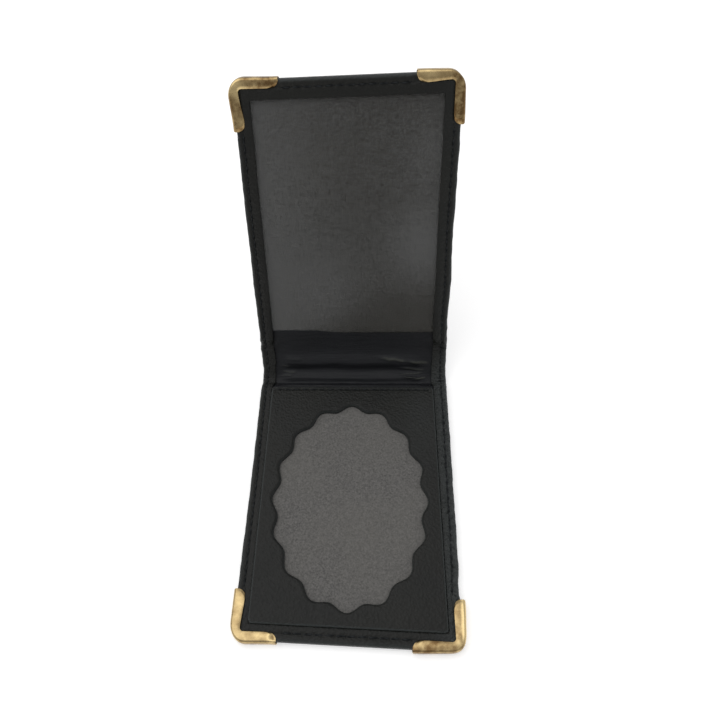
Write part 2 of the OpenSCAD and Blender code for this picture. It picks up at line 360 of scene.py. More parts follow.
def border_top(along):
    """Height of the turned-in border: low over the spine and thicker over each board."""
    badge_side = badge_border_top - spine_border_top
    card_side = card_border_top - spine_border_top
    return (spine_border_top + badge_side * soft_step(-along, *border_rise_badge)
            + card_side * soft_step(along - spine_width, *border_rise_card))


def hem_inside(along, side):
    """Where the inner edge of a side border lies across the wallet: beside the badge panel it
    follows the pad, which was glued in a little askew."""
    spine_share = soft_step(along, -4.5, -1.0)
    beside_pad = side * (body_half - badge_hem) + (pad_aside if side > 0 else 0.0)
    beside_pad -= pad_lean * (along - badge_end / 2)
    return beside_pad + (side * (body_half - card_hem) - beside_pad) * spine_share


def waist(along, across):
    """How far an edge lies in from body_half."""
    return body_half - line_through(edge_lines[1 if across > 0 else -1], along)


def needle_holes(start, stop):
    """Where the needle went in along a row from start to stop."""
    count = round((stop - start) / stitch_step)
    return [start + (stop - start) * hole / count for hole in range(count + 1)]


def to_nearest(place, holes):
    """Distance from a place on a row to its nearest hole."""
    return min(abs(place - hole) for hole in holes)


def around(holes):
    """Where a piece is cut so that every hole can be pressed into it."""
    half = (holes[1] - holes[0]) / 2
    return [hole + shift for hole in holes for shift in (-hole_cut, 0, hole_cut, half)]


def well_apart(places, least=0.2):
    """The places in order, without those that crowd the one before."""
    kept = []
    for place in sorted(places):
        if not kept or place - kept[-1] > least:
            kept.append(place)
    return kept


def guard_cover(point, out_end, grow):
    """1 where a brass corner lies over a point of the border, fading out over its edge."""
    in_from_end = abs(point.y - out_end)
    on_end = min(guard_inner_end - in_from_end, abs(point.x) - guard_tip_across)
    on_side = min(abs(point.x) - guard_inner_side, guard_tip_along - in_from_end)
    return soft_step(max(on_end, on_side), -grow, 0.1)


def grained_cowhide(tree, place):
    """Drum-dyed cowhide with an embossed grain: near black, satin on the pebbles, dull in the
    furrows between them, smoother and greyer from use where the cover's edge is folded, and
    crinkled where it is held. The same paler grey is painted on the pad as a highlight on its
    rolled rims, as painted light over the shade on the oval's wall and at the pad's foot, and as
    a pool of painted light on its right side. The crinkled border on the right is painted
    lighter too, as painted light that falls from the right."""
    pebble = 1 / (0.75 * MM)  # the grain is about 0.5 mm, drawn coarser so that it shows
    drift = add(tree, "TexNoise", {"Vector": place, "Scale": pebble / 3, "Detail": 2}, "Color")
    bent = add(tree, "VectorMath", {0: drift, 1: [0.5 * MM] * 3, 2: place},
               operation="MULTIPLY_ADD")
    grain = add(tree, "TexVoronoi", {"Vector": bent, "Scale": pebble}, feature="SMOOTH_F1")
    pores = add(tree, "TexNoise", {"Vector": place, "Scale": pebble * 2.2, "Detail": 3})
    folds = add(tree, "TexNoise", {"Vector": place, "Scale": 1 / (7 * MM), "Detail": 5,
                                   "Roughness": 0.6})
    crinkle = add(tree, "TexNoise", {"Vector": place, "Scale": 1 / (1.7 * MM), "Detail": 3,
                                     "Distortion": 0.8})
    patch = add(tree, "TexNoise", {"Vector": place, "Scale": 1 / (16 * MM), "Detail": 3})
    # One layer holds the cover's paler folded edges from use and the pad's painted highlights and
    # painted light. The other holds the crinkle and the painted light on the right border. Both
    # lighten the tone.
    wear_and_highlight = add(tree, "Attribute", out="Fac", attribute_name="wear_and_highlight")
    crinkle_and_light = add(tree, "Attribute", out="Fac", attribute_name="crinkle_and_light")
    wear_and_light = add(tree, "Math", {0: crinkle_and_light, 1: 0.75, 2: wear_and_highlight}, operation="MULTIPLY_ADD")
    tone = linear("#141514")
    for share, other in ((patch, "#20201c"), (wear_and_light, "#383b3a")):
        tone = add(tree, "Mix", {0: share, 6: tone, 7: linear(other)}, 2, data_type="RGBA")
    dull = add(tree, "MapRange", {"Value": grain, "From Min": 0.1, "From Max": 0.75,
                                  "To Min": 0.4, "To Max": 0.56})
    shine = add(tree, "Math", {0: wear_and_light, 1: -0.07, 2: dull}, operation="MULTIPLY_ADD")
    rough = add(tree, "Bump", {"Height": folds, "Strength": 0.5, "Distance": 0.25 * MM})
    for relief, strength, deep, sunk in ((crinkle, crinkle_and_light, 1.3, False),
                                         (grain, 0.9, 0.25, True), (pores, 0.4, 0.08, False)):
        rough = add(tree, "Bump", {"Height": relief, "Strength": strength,
                                   "Distance": deep * MM, "Normal": rough}, invert=sunk)
    return add(tree, "BsdfPrincipled", {"Base Color": tone, "Roughness": shine, "IOR": 1.45,
                                        "Specular IOR Level": 0.28, "Normal": rough})


cowhide = finish_of(grained_cowhide)


def rim(edge, mid):
    """Whether an edge lies between a level face and an upright one."""
    level = [abs(face.normal.z) for face in edge.link_faces]
    return len(level) == 2 and abs(level[0] - level[1]) > 0.9


def turned_cover(name, out_end, hem_end, top):
    """One half of the cover, from the middle of the spine to out_end, still flat."""
    out = math.copysign(1, out_end)
    start, stop = sorted((out_end, spine_middle))
    low, high = Vector((-body_half, start, 0)), Vector((body_half, stop, top))
    cover = started(bpy.ops.mesh.primitive_cube_add, name, size=1, location=(low + high) / 2,
                    scale=high - low)
    bpy.ops.object.mode_set(mode="EDIT")
    choose("FACE", lambda face, mid: abs(mid.y - spine_middle) < near)
    bpy.ops.mesh.delete(type="FACE")
    choose("EDGE", lambda edge, mid: abs(mid.y - out_end) < near and abs(mid.z - top / 2) < near)
    bpy.ops.mesh.bevel(offset=leather_corner, segments=8, affect="EDGES")
    choose("EDGE", rim)
    bpy.ops.mesh.bevel(offset=rolled_edge, segments=5, affect="EDGES")

    inner_half = body_half - (badge_hem if out < 0 else card_hem)
    inner_end = out_end - out * hem_end
    cut_across(0, (-inner_half, inner_half))
    cut_across(1, (inner_end,))
    choose("FACE", lambda face, mid: face.normal.z > 0.9 and abs(mid.x) < inner_half and
           out * mid.y < out * inner_end)
    bpy.ops.mesh.delete(type="FACE")

    crease = 0.0 if out < 0 else spine_width
    row_start = out_end - out * (guard_tip_along + row_clear)
    side_holes = needle_holes(*sorted((spine_middle, row_start)))
    end_holes = needle_holes(-guard_tip_across + row_clear, guard_tip_across - row_clear)
    across = [side * (body_half - inset) for side in (-1, 1) for inset in side_cuts]
    across += [side * body_half * share for side in (-1, 1) for share in side_cut_shares]
    cut_across(0, well_apart(across + around(end_holes)))
    along = [out_end - out * inset for inset in end_cuts]
    along += [crease + 0.5 * step for step in range(-11, 12)]
    along += [crease - out * reach for reach in crease_cuts]
    cut_across(1, well_apart(along + around(side_holes)))

    bpy.ops.object.mode_set(mode="OBJECT")
    wear_light_layer = cover.data.attributes.new("wear_and_highlight", "FLOAT", "POINT")
    crinkle_and_light = cover.data.attributes.new("crinkle_and_light", "FLOAT", "POINT")
    for corner in cover.data.vertices:
        point = corner.co.copy()
        edge = min(body_half - abs(point.x), abs(out_end - point.y))
        # On the cover this layer is real use: paler where the edge is folded.
        wear_light_layer.data[corner.index].value = edge_wear * soft_step(-edge, *edge_wear_reach)
        # The crinkled right border, most of all beside the badge panel, is also painted lighter, as
        # painted light from the right.
        gripped = 0.15 + 0.85 * soft_step(-point.y, -16, 0)
        crinkle_and_light.data[corner.index].value = soft_step(point.x, *grip) * gripped
        lift = soft_step(point.z, rolled_edge, top - rolled_edge)
        if abs(point.x) < body_half - 4:
            row = abs(point.y - out_end) - end_stitch_inset
            hole = to_nearest(point.x, end_holes)
        else:
            row = body_half - abs(point.x) - side_stitch_inset
            hole = to_nearest(point.y, side_holes)
        channel = channel_deep * bump_at(row, channel_wide)
        channel += hole_deep * bump_at(row, hole_wide) * bump_at(hole, hole_wide)
        hand = noise.noise(Vector((point.x, point.y, 7 * lift)) / 6)
        fine = noise.noise(Vector((point.x * 0.4, point.y, 5 * lift)) / 2.1)
        pinch = pucker_deep * math.sin(point.y * 4.1 + 2 * hand) * (
            bump_at(point.y + 0.6, 2.2) + bump_at(point.y - spine_width, 2.6))
        if lift > 0.99:
            handled = 1 + soft_step(point.x, 30, 34)
            corner.co.z += hand_wave * hand + fine_wave * handled * fine + 0.6 * pinch - channel
        side_share = soft_step(abs(point.x), body_half - 2, body_half)
        corner.co.z += lift * (border_top(point.y) - top)
        drawn = waist(point.y, point.x) * soft_step(abs(point.x), 0, body_half)
        side = 1 if point.x > 0 else -1
        corner.co.x -= side * (drawn + side_share * edge_wander * (fine + 1.2 * hand)
                               + side_share * 0.5 * abs(pinch))
        if lift > 0.99 and abs(abs(point.x) - inner_half) < near and out < 0:
            corner.co.x = hem_inside(point.y, side)
    finish_with(cover, "SOLIDIFY", thickness=cover_thick, offset=-1, use_even_offset=True)
    for corner in cover.data.vertices:
        point = corner.co
        pressed = guard_cover(point, out_end, 0.5)
        if pressed > 0 and abs(point.x) < body_half - 0.7 and abs(point.y - out_end) > 0.7:
            if point.z < 0.3:
                point.z += (guard_thick + 0.04) * pressed
            elif point.z > border_top(point.y) - 0.4:
                point.z -= 0.4 * pressed
    return cover


def hem_edge(piece, out_end, hem_end):
    """Rounds the raw inner edge of the border."""
    out = math.copysign(1, out_end)
    inner_end = out_end - out * hem_end
    bpy.context.view_layer.objects.active = piece
    bpy.ops.object.mode_set(mode="EDIT")

    def raw(edge, mid):
        if len(edge.link_faces) != 2 or mid.z < spine_border_top - cover_thick + near:
            return False
        if abs(mid.y - spine_middle) < near or out * mid.y > out * inner_end + 0.3:
            return False
        return edge.calc_face_angle() > 1.2 and abs(mid.x) < body_half - 3

    choose("EDGE", raw)
    bpy.ops.mesh.bevel(offset=raw_edge_round, segments=2, affect="EDGES")
    bpy.ops.object.mode_set(mode="OBJECT")


for half, out_end, hem_end, top, nodes in (
        ("lower", badge_end, badge_hem, badge_border_top, ["badge_side_cover", "spine_cover"]),
        ("upper", card_end, card_hem_at_end, card_border_top, ["card_side_cover"])):
    cover = turned_cover("cover_" + half, out_end, hem_end, top)
    hem_edge(cover, out_end, hem_end)
    hang(cover, 50, cowhide, nodes)
    bend(cover)

# Boards
# Two sheets of grey pulp board stiffen the panels, and a third, cut out for the badge, is the
# core of the pad. They are glued inside the leather and hold it flat.


def pulp_board(tree, place):
    """Grey pulp board: matt, with short fibres of several greys pressed into it."""
    fibres = add(tree, "TexNoise", {"Vector": place, "Scale": 1 / (0.8 * MM), "Detail": 6,
                                    "Distortion": 1.5})
    tone = add(tree, "Mix", {0: fibres, 6: linear("#7d7468"), 7: linear("#a39a8c")}, 2,
               data_type="RGBA")
    rough = add(tree, "Bump", {"Height": fibres, "Distance": 0.08 * MM})
    return add(tree, "BsdfPrincipled", {"Base Color": tone, "Roughness": 0.9, "Normal": rough})


board = finish_of(pulp_board)
for name in ("badge_side_board", "card_side_board"):
    node = frame["nodes"][name]
    node.data.materials.clear()
    node.data.materials.append(board)

# Spine lining
# A strip of thin, soft black calf is glued to both boards and runs over the spine, where there
# is no board and it puckers into two soft folds. Its sides are held under the border, and its
# right end is pinched. It is parted at the bottom of its middle valley.
board_top = 2.0
lining_thick = 0.4
side_tuck = 1.6
backing_thick = 0.4
lining_half = body_half - side_tuck
lining_low_end = -8.2
lining_valley = 7.1
lining_rise_badge = (1.0, 4.2)
lining_rise_card = (12.5, 18.6)
lining_held = 31.6
window_edge = spine_width + 8.0
drift_out = 0.65
drift_turn = 1.15
drift_reach = 4
# The lining's height at places along the bench, and its small folds: from, to, width and lift
lining_profile = [(-8.3, 2.4), (-3.3, 2.4), (-1.4, 1.6), (1.2, 2.35), (5.2, 1.3), (8.6, 2.6),
                  (12.8, 2.2), (18.3, 2.4), (24.0, 2.4)]
small_folds = [((10, 10.7), (23, 9.1), 0.8, 0.5), ((21.5, 9.2), (32, 8.0), 0.75, 0.5),
               ((18, 6.3), (31, 5.1), 0.5, 0.4), ((17, 2.9), (30, 4.3), 0.5, 0.4),
               ((19, 2.0), (31, 0.9), 0.5, 0.4), ((24, 0.0), (31, 1.9), 0.45, 0.3),
               ((-31, 4.6), (-23, 4.1), 0.6, 0.35), ((-31, 2.2), (-25, 2.9), 0.6, 0.3),
               ((-31, 10.6), (-20, 9.8), 0.7, 0.2), ((-31, 7.2), (-26, 6.9), 0.5, 0.3)]


def fold_lift(across, along):
    """How far the small folds stand up at a place."""
    total = 0
    point = Vector((across, along + 0.5 * noise.noise(Vector((across / 3.1, along / 6, 1)))))
    for start, stop, width, lift in small_folds:
        start, stop = Vector(start), Vector(stop)
        share = (point - start).dot(stop - start) / (stop - start).length_squared
        share = min(max(share, 0), 1)
        lift *= min(1, 3 * share, 5 * (1 - share))
        total += lift * bump_at((point - start.lerp(stop, share)).length, width)
    return total


def lining_height(across, along):
    """Height of the upper face of the lining."""
    spread = soft_step(lining_held - abs(across), 0, 7)
    drift = 0.5 * noise.noise(Vector((across / 14, along / 9, 3)))
    loose = soft_step(along, -2.5, 0) * soft_step(-along, -18, -14)
    moved = along + drift * spread * loose
    height = line_through(lining_profile, moved)
    flat = lining_height_flat(along)
    ripple = 0.05 * noise.noise(Vector((across / 9, along * 1.6, 5)))
    ripple += 0.03 * noise.noise(Vector((across / 5, along * 3.2, 9)))
    ripple *= soft_step(lining_held - abs(across), 0, 1)
    return flat + (height - flat + fold_lift(across, along)) * spread + ripple


def lining_height_flat(along):
    """Height of the lining where the border holds it down."""
    rise = board_top + lining_thick - spine_border_top + cover_thick
    return spine_border_top - cover_thick + rise * (soft_step(-along, *lining_rise_badge)
                                                    + soft_step(along, *lining_rise_card))


def soft_calf(tree, place):
    """Thin garment calf: black, smooth and supple, with fine creases that run along its folds,
    and a painted highlight in a paler grey on the crests of the small ones."""
    stretched = add(tree, "Mapping", {"Vector": place, "Scale": (0.16, 1, 1)})
    creases = add(tree, "TexNoise", {"Vector": stretched, "Scale": 1 / (1.4 * MM), "Detail": 4,
                                     "Roughness": 0.55})
    grain = add(tree, "TexVoronoi", {"Vector": place, "Scale": 1 / (0.6 * MM)})
    patch = add(tree, "TexNoise", {"Vector": place, "Scale": 1 / (9 * MM), "Detail": 2})
    wear_and_highlight = add(tree, "Attribute", out="Fac", attribute_name="wear_and_highlight")
    tone = linear("#111214")
    for share, other in ((patch, "#1a1b1e"), (wear_and_highlight, "#45463f")):
        tone = add(tree, "Mix", {0: share, 6: tone, 7: linear(other)}, 2, data_type="RGBA")
    shine = add(tree, "MapRange", {"Value": patch, "To Min": 0.42, "To Max": 0.6})
    rough = add(tree, "Bump", {"Height": creases, "Strength": 0.6, "Distance": 0.22 * MM})
    rough = add(tree, "Bump", {"Height": grain, "Strength": 0.35, "Distance": 0.07 * MM,
                               "Normal": rough}, invert=True)
    return add(tree, "BsdfPrincipled", {"Base Color": tone, "Roughness": shine, "IOR": 1.45,
                                        "Specular IOR Level": 0.3, "Normal": rough})


def window_drift(across, along):
    """How far the edge by the window strays from square: out on the left, in on the right."""
    drift = drift_out - drift_turn * soft_step(across, -18, -3)
    return drift * soft_step(-abs(along - window_edge), -drift_reach, 0)


def bench_sheet(name, low, high, cuts_across, cuts_along):
    """A flat sheet between two corners on the bench, at height 0."""
    low, high = Vector((*low, 0)), Vector((*high, 0))
    sheet = started(bpy.ops.mesh.primitive_grid_add, name, x_subdivisions=cuts_across,
                    y_subdivisions=cuts_along, size=1)
    sheet.location = (low + high) / 2
    sheet.scale = (*(high - low).xy, 1)
    bpy.ops.object.transform_apply()
    return sheet


calf = finish_of(soft_calf)
for half, start, stop, cuts, nodes in (
        ("lower", lining_low_end, lining_valley, 60, ["badge_side_lining", "spine_lining"]),
        ("upper", lining_valley, window_edge, 66, ["card_side_lining"])):
    strip = bench_sheet("lining_" + half, (-lining_half, start), (lining_half, stop), 150, cuts)
    wear_light_layer = strip.data.attributes.new("wear_and_highlight", "FLOAT", "POINT")
    for corner in strip.data.vertices:
        corner.co.z = lining_height(corner.co.x, corner.co.y)
        # The crests of the small folds are painted paler as a painted highlight.
        wear_light_layer.data[corner.index].value = 1.6 * max(fold_lift(corner.co.x, corner.co.y) - 0.16, 0)
        corner.co.y += window_drift(corner.co.x, corner.co.y)
    finish_with(strip, "SOLIDIFY", thickness=lining_thick, offset=-1)
    hang(strip, 60, calf, nodes)
    bend(strip)

# Suede
# Two sheets of grey split suede are glued flat to the boards: one shows through the cut-out
# behind the badge, the other lies behind the card window.
suede_end_inset = 1.1
suede_swell = 0.05
suede_wave = 13


def split_suede(tree, place):
    """Split suede: a short grey nap that scatters light evenly and is mottled where it lies
    one way or the other."""
    nap = 1 / (0.65 * MM)  # the nap is about 0.3 mm, drawn coarser so that it shows
    fuzz = add(tree, "TexNoise", {"Vector": place, "Scale": nap, "Detail": 5,
                                  "Roughness": 0.65})
    lie = add(tree, "TexNoise", {"Vector": place, "Scale": 1 / (2.6 * MM), "Detail": 3})
    cloud = add(tree, "TexNoise", {"Vector": place, "Scale": 1 / (28 * MM), "Detail": 2})
    speck = add(tree, "MapRange", {"Value": fuzz, "From Min": 0.32, "From Max": 0.68})
    laid = add(tree, "MapRange", {"Value": lie, "From Min": 0.3, "From Max": 0.7,
                                  "To Min": 0.1, "To Max": 0.3})
    shade = add(tree, "MapRange", {"Value": cloud, "From Min": 0.35, "From Max": 0.65,
                                   "To Min": 0, "To Max": 0.35})
    tone = linear("#4a4947")
    for share, other in ((speck, "#777571"), (laid, "#605e5e"), (shade, "#6a6863")):
        tone = add(tree, "Mix", {0: share, 6: tone, 7: linear(other)}, 2, data_type="RGBA")
    rough = add(tree, "Bump", {"Height": fuzz, "Strength": 0.5, "Distance": 0.12 * MM})
    return add(tree, "BsdfPrincipled", {"Base Color": tone, "Roughness": 0.95,
                                        "Specular IOR Level": 0.15, "Sheen Weight": 0.12,
                                        "Sheen Roughness": 0.5, "Normal": rough})


suede = finish_of(split_suede)
for panel, start, stop in (("badge", badge_end + suede_end_inset, lining_low_end),
                           ("card", window_edge, card_end - suede_end_inset)):
    sheet = bench_sheet(panel + "_suede", (-lining_half, start), (lining_half, stop), 48, 64)
    for corner in sheet.data.vertices:
        swell = noise.noise(Vector((corner.co.x, corner.co.y, 11)) / suede_wave)
        corner.co.z = board_top + backing_thick + suede_swell * (swell - 1)
        corner.co.y += window_drift(corner.co.x, corner.co.y)
    finish_with(sheet, "SOLIDIFY", thickness=backing_thick - 2 * suede_swell, offset=-1)
    hang(sheet, 60, suede, [panel + "_backing"])
    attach(sheet, panel + "_panel")

# Badge pad
# A cut-out board is wrapped in the same cowhide, which is pulled over its rims and down the
# walls of a lobed oval. The lobes are one smooth wave. A row of stitches holds it by the spine.
pad_foot = board_top + backing_thick
pad_top = 4.2
pad_skin = 0.6
core_clear = 0.1
side_shy = 0.05
end_shy = 0.75
pad_low, pad_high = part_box("badge_pad_leather")
pad_half = pad_high.x / MM - side_shy
pad_near = lower_corner.x - pad_high.y / MM
pad_far = lower_corner.x - pad_low.y / MM - end_shy
pad_corner = 0.9
pad_roll = 1.15
pad_outer_roll = 0.8
roll_steps = 5
oval_middle = -53.4
oval_half_wide = 28.7
oval_half_long = 39.65
lobes = 16
lobe_deep = 2.2
lobe_shift = math.radians(3.2)
pad_stitch_inset = 1.35
pad_channel_deep = 0.32
pad_turns = lobes * 20
# Where the pad's top is cut: as shares of the way out from the oval, and in from the pad's edge
top_shares = (0.06, 0.16, 0.3, 0.45, 0.6, 0.75, 0.88)
edge_insets = (2.3, 1.9, 1.6, 1.35, 1.1, 0.9)


def oval_rim(turn, grow):
    """Point of the lobed oval at this turn, moved out by grow."""
    half_wide = oval_half_wide - lobe_deep / 2
    half_long = oval_half_long - lobe_deep / 2
    at = turn + lobe_shift * math.sin(2 * turn)
    normal = Vector((math.sin(at) / half_wide, math.cos(at) / half_long)).normalized()
    out = lobe_deep / 2 * math.cos(lobes * turn) + grow
    return Vector((half_wide * math.sin(at), half_long * math.cos(at) + oval_middle)) + out * normal


def pad_rim(turn, inset):
    """Point of the pad's outline on the ray from the oval's middle, moved in by inset."""
    ray = oval_rim(turn, 0) - Vector((0, oval_middle))
    middle = (-pad_near - pad_far) / 2
    half = Vector((pad_half, (pad_far - pad_near) / 2))
    radius = max(pad_corner - inset, 0.3)
    low, high = 1.0, 3.0
    for _ in range(30):
        share = (low + high) / 2
        point = Vector((0, oval_middle - middle)) + ray * share
        past = Vector((max(abs(point.x + pad_lean * point.y) - half.x + inset + radius, 0),
                       max(abs(point.y) - half.y + inset + radius, 0)))
        low, high = (low, share) if past.length > radius else (share, high)
    return Vector((0, oval_middle)) + ray * low


def quarter(radius, steps):
    """Offsets in and down round a quarter roll, from its wall to its top."""
    for step in range(steps + 1):
        angle = math.pi / 2 * step / steps
        yield radius * (1 - math.cos(angle)), radius * (1 - math.sin(angle))


# The pad's rings, from the foot of the cut-out's wall over the top to the foot of its edge: the
# outline with how far out or in it lies, or a share of the way over the top, and the height
rings = [(oval_rim, 0, pad_foot)]
rings += [(oval_rim, grow, pad_top - drop) for grow, drop in quarter(pad_roll, roll_steps)]
rings += [(share, None, pad_top) for share in top_shares]
rings += [(pad_rim, inset, pad_top) for inset in edge_insets]
rings += [(pad_rim, inset, pad_top - drop)
          for inset, drop in reversed(list(quarter(pad_outer_roll, roll_steps)))]
rings += [(pad_rim, 0, pad_foot)]


def close_rings(piece):
    """Joins the first and the last ring where they meet, and turns all faces one way."""
    bpy.ops.object.mode_set(mode="EDIT")
    bpy.ops.mesh.select_all(action="SELECT")
    bpy.ops.mesh.remove_doubles(threshold=near / 10)
    bpy.ops.mesh.normals_make_consistent(inside=False)
    bpy.ops.object.mode_set(mode="OBJECT")


def face_up(piece):
    """Turns the faces of an open piece over if its highest one looks down."""
    if max(piece.data.polygons, key=lambda face: face.center.z).normal.z < 0:
        piece.data.flip_normals()


def ring_blank(name, count):
    """A flat band of count rings, the first of radius 1, the next of 2 and so on."""
    band = started(bpy.ops.mesh.primitive_circle_add, name, vertices=pad_turns, radius=1)
    bpy.ops.object.mode_set(mode="EDIT")
    bpy.ops.mesh.select_all(action="SELECT")
    for ring in range(1, count):
        bpy.ops.mesh.extrude_region_move()
        bpy.ops.transform.resize(value=[(ring + 1) / ring] * 3)
    bpy.ops.object.mode_set(mode="OBJECT")
    return band


pad = ring_blank("badge_pad", len(rings))
wear_light_layer = pad.data.attributes.new("wear_and_highlight", "FLOAT", "POINT")
for corner in pad.data.vertices:
    shape, amount, height = rings[round(corner.co.xy.length) - 1]
    turn = math.atan2(corner.co.x, corner.co.y)
    down = pad_top - height
    # The pad's tone is painted paler: a painted highlight on the oval's roll that runs on as
    # painted light over its shaded wall, and one on the outer roll that runs on over the shade at
    # the pad's foot.
    if shape == oval_rim:
        wear_and_light = 0.8 * soft_step(down, 0.15, 0.7) * soft_step(-down, -1.8, -1.3)
    else:
        wear_and_light = soft_step(down, 0.01, 0.1) * soft_step(-down, -1.1, -0.5)
    if amount is None:
        inner, outer = oval_rim(turn, pad_roll), pad_rim(turn, edge_insets[0])
        place = inner.lerp(outer, shape)
    else:
        place = shape(turn, amount)
    if height > pad_top - near:
        # A pool of painted light on the right of the pad's top.
        wear_and_light += 0.2 * bump_at(place.x - 27, 8) * bump_at(place.y + 20, 18)
        height += 0.06 * noise.noise(Vector((*place, 4)) / 7)
        height -= pad_channel_deep * bump_at(place.y + pad_near + pad_stitch_inset, 0.3)
    wear_light_layer.data[corner.index].value = wear_and_light
    corner.co = (*place, height)
close_rings(pad)
face_up(pad)
finish_with(pad, "SOLIDIFY", thickness=pad_skin, offset=-1, use_even_offset=True)
hang(pad, 60, cowhide, ["badge_pad_leather"])
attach(pad, "badge_panel")

core_top = pad_top - pad_skin - core_clear
core_rings = [(oval_rim, pad_foot), (oval_rim, core_top), (pad_rim, core_top),
              (pad_rim, pad_foot), (oval_rim, pad_foot)]
core = ring_blank("pad_core", len(core_rings))
for corner in core.data.vertices:
    shape, height = core_rings[round(corner.co.xy.length) - 1]
    corner.co = (*shape(math.atan2(corner.co.x, corner.co.y), pad_skin + core_clear), height)
close_rings(core)
hang(core, 40, board, ["badge_pad_core"])
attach(core, "badge_panel")

# Card window
# A sheet of clear, slightly hazy vinyl is sewn in under the border on three sides. Its cut edge
# by the spine is open, so that the card slides in, and shows as a thin pale line.
film_foot = 2.7
film_thick = 0.3
film_swell = 0.06
film_wave = 24
film_edge_round = 0.06
film_haze = 0.28
# Where the film is hazier or clearer than elsewhere: the middle, the reach each way, how much
haze_spots = [((-36, 60), (24, 100), 0.62), ((28, 60), (13, 15), 0.75),
              ((32, 92), (13, 14), 0.4), ((-9, 38), (13, 20), 0.35),
              ((26, 24), (17, 15), -0.7), ((2, 22), (20, 12), -0.5)]


def haze_at(across, along):
    """How hazy the film is at a place."""
    return film_haze + sum(
        lift * bump_at(across - middle[0], reach[0]) * bump_at(along - middle[1], reach[1])
        for middle, reach, lift in haze_spots)


def clear_vinyl(tree, place):
    """Calendered vinyl film: clear with a faint grainy haze that is thicker and paler in some
    listed patches and thinner and darker in others, a little wavy, and dulled by fine scuffs,
    which spread what it mirrors."""
    wave, scuff, grain = [
        add(tree, "TexNoise", {"Vector": place, "Scale": 1 / (size * MM), "Detail": detail})
        for size, detail in ((22, 2), (1.1, 6), (0.8, 4))]
    bloom = add(tree, "Attribute", out="Fac", attribute_name="haze")
    haze = add(tree, "Math", {0: grain, 1: 2.4, 2: -1.2}, operation="MULTIPLY_ADD")
    haze = add(tree, "Math", {0: haze, 1: bloom})
    tone = add(tree, "Mix", {0: haze, 6: linear("#2f2e27"), 7: linear("#757675")}, 2,
               data_type="RGBA")
    shine = add(tree, "MapRange", {"Value": scuff, "From Min": 0.3, "From Max": 0.7,
                                   "To Min": 0.2, "To Max": 0.34})
    rough = add(tree, "Bump", {"Height": wave, "Strength": 0.4, "Distance": 0.3 * MM})
    return add(tree, "BsdfPrincipled", {"Base Color": tone, "Alpha": 0.3, "Roughness": shine,
                                        "IOR": 1.5, "Normal": rough})


window = bench_sheet("card_window", (-lining_half, window_edge),
                     (lining_half, card_end - suede_end_inset), 40, 56)
bloom = window.data.attributes.new("haze", "FLOAT", "POINT")
for corner in window.data.vertices:
    swell = noise.noise(Vector((corner.co.x, corner.co.y, 2)) / film_wave)
    corner.co.z = film_foot + film_thick + film_swell * (swell - 1)
    bloom.data[corner.index].value = haze_at(corner.co.x, corner.co.y)
    corner.co.y += window_drift(corner.co.x, corner.co.y)
finish_with(window, "SOLIDIFY", thickness=film_thick - film_swell, offset=-1)
finish_with(window, "BEVEL", width=film_edge_round, segments=2, limit_method="ANGLE")
hang(window, 60, finish_of(clear_vinyl), ["card_window_film"])
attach(window, "card_panel")

# Brass corners
# Each is stamped from 0.4 mm brass sheet, set over the leather's corner and pressed shut, so that
# its rim rolls round the edge and its face is a soft pillow that bites into the border. They are
# lacquered, a little tarnished, and dented by use; their browning also holds painted shade and
# painted highlights.
guard_arm = 17.0
guard_side_width = 4.1
guard_end_width = 3.4
guard_corner = 6.3
guard_inner_corner = 1.3
guard_end_radius = 2.8
guard_edge_round = 0.12
rim_share = 0.28
rim_deep = 1.2
crown_share = 0.45
outer_fall = 0.1
inner_fall = 0.3
tip_press = 0.4
arm_taper = (3, 16)
arm_stretch = (6, 16)
full_rise = 0.3
dent_deep = 0.1
dimple_in = 1.3
dimple_along = 1.9
dimple_wide = 0.9
dimple_lip = 0.45


def stamped_brass(tree, place):
    """Lacquered brass sheet: a warm yellow mirror, blurred by fine handling marks and browned
    in patches where the lacquer has gone. The browning is set for each corner and is partly
    real and partly painted shade, darker where a corner mirrors dim surroundings. It is taken
    off as a painted highlight on raised rims, and the dimples get painted shade with a painted
    highlight on their lips."""
    tarnish_and_light = add(tree, "TexNoise", {"Vector": place, "Scale": 1 / (3.2 * MM), "Detail": 4,
                                     "Roughness": 0.55})
    marks = add(tree, "TexNoise", {"Vector": place, "Scale": 1 / (0.5 * MM), "Detail": 3})
    dents = add(tree, "TexNoise", {"Vector": place, "Scale": 1 / (3.5 * MM), "Detail": 2})
    degree = add(tree, "Attribute", out="Fac", attribute_name="tarnish_and_light")
    patches = add(tree, "MapRange", {"Value": tarnish_and_light, "From Min": 0.3, "From Max": 0.7,
                                     "To Min": 0.2, "To Max": 0.8})
    stain_and_light_share = add(tree, "Math", {0: degree, 1: patches}, operation="MULTIPLY")
    browned = add(tree, "MapRange", {"Value": stain_and_light_share, "From Min": 0, "From Max": 0.5})
    tone = add(tree, "Mix", {0: browned, 6: linear("#e0c792"), 7: linear("#7c6240")}, 2,
               data_type="RGBA")
    shine = add(tree, "MapRange", {"Value": marks, "From Min": 0.3, "From Max": 0.7,
                                   "To Min": 0.24, "To Max": 0.38})
    rough = add(tree, "Bump", {"Height": dents, "Strength": 0.35, "Distance": 0.3 * MM})
    rough = add(tree, "Bump", {"Height": marks, "Strength": 0.06, "Distance": 0.03 * MM,
                               "Normal": rough})
    return add(tree, "BsdfPrincipled", {"Base Color": tone, "Metallic": 1, "Roughness": shine,
                                        "Normal": rough})


blank_top = badge_border_top + guard_thick + 0.05
from_tip = (0, 0.25, 0.5, 0.8, 1.2, 1.8, 2.6, 3.6, 4.8, 6.2, 7.6, 9.0, 10.4, 11.8)
turn_steps = 10
